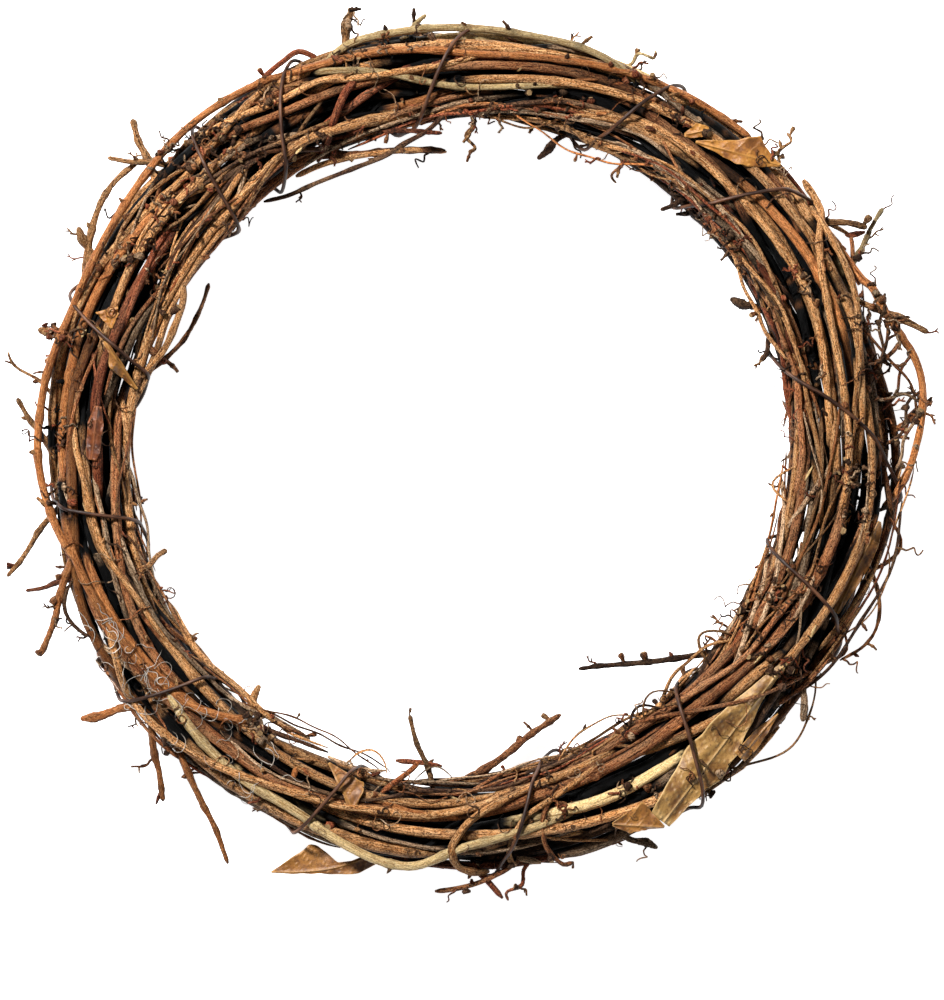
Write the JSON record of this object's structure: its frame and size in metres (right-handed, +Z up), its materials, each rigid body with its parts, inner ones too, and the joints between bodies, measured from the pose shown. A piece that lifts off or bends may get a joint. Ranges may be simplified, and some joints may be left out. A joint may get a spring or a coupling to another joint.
{
  "type": "grapevine wreath",
  "caption": "Ring of long bare grapevine stems laid round one another and bound by a thin spiral wire, with dry leaves caught in it and twigs standing out.",
  "frame": {"origin": "middle of the wreath's outer box, on the surface that it lies on", "axes": "the wreath lies flat with its front up: +Z up out of the front, +X to the right and +Y to the top of the front as seen in the picture"},
  "size_m": [0.3277, 0.315, 0.0319],
  "materials": {
    "bark_tan": "rough dry bark",
    "bark_brown": "rough dry bark",
    "bark_red_brown": "dry peeled bark",
    "bark_orange": "smooth bark",
    "bark_grey_brown": "weathered bark",
    "bark_straw": "smooth pale stem",
    "bark_dark": "dark weathered bark",
    "bark_peeled": "curled bark strip",
    "wire_brown": "dull brown coat",
    "leaf_tan": "dry, satin",
    "leaf_brown": "dry, satin",
    "leaf_gold": "dry, satin"
  },
  "bodies": {
    "root": {"bark_strip": "bark_peeled", "binding_wire": "wire_brown", "leaf_brown_shard": "leaf_brown", "leaf_left_pointed": "leaf_brown", "leaf_left_small": "leaf_gold", "leaf_low_outer": "leaf_brown", "leaf_low_small": "leaf_brown", "leaf_oak": "leaf_tan", "leaf_oak_lobe": "leaf_brown", "leaf_right_fold": "leaf_brown", "leaf_upper_gold": "leaf_gold", "leaf_upper_pale": "leaf_gold", "vine_01": "bark_brown", "vine_02": "bark_tan", "vine_03": "bark_red_brown", "vine_04": "bark_grey_brown", "vine_05": "bark_dark", "vine_06": "bark_orange", "vine_07": "bark_brown", "vine_08": "bark_tan", "vine_09": "bark_red_brown", "vine_10": "bark_grey_brown", "vine_11": "bark_dark", "vine_12": "bark_orange", "vine_13": "bark_brown", "vine_14": "bark_tan", "vine_15": "bark_red_brown", "vine_16": "bark_grey_brown", "vine_17": "bark_dark", "vine_18": "bark_orange", "vine_19": "bark_brown", "vine_inner_brown": "bark_brown", "vine_inner_tan": "bark_tan", "vine_left_inner": "bark_brown", "vine_left_outer": "bark_orange", "vine_left_rough": "bark_tan", "vine_long_brown": "bark_brown", "vine_lower_left": "bark_tan", "vine_lower_right": "bark_tan", "vine_orange_right": "bark_orange", "vine_pale_cross": "bark_tan", "vine_red_diagonal": "bark_red_brown", "vine_right_inner": "bark_orange", "vine_right_rough": "bark_tan", "vine_straw": "bark_straw", "vine_top_arc": "bark_tan", "vine_top_cross": "bark_tan", "vine_top_dark": "bark_brown", "vine_top_pale": "bark_straw"}
  },
  "joints": []
}
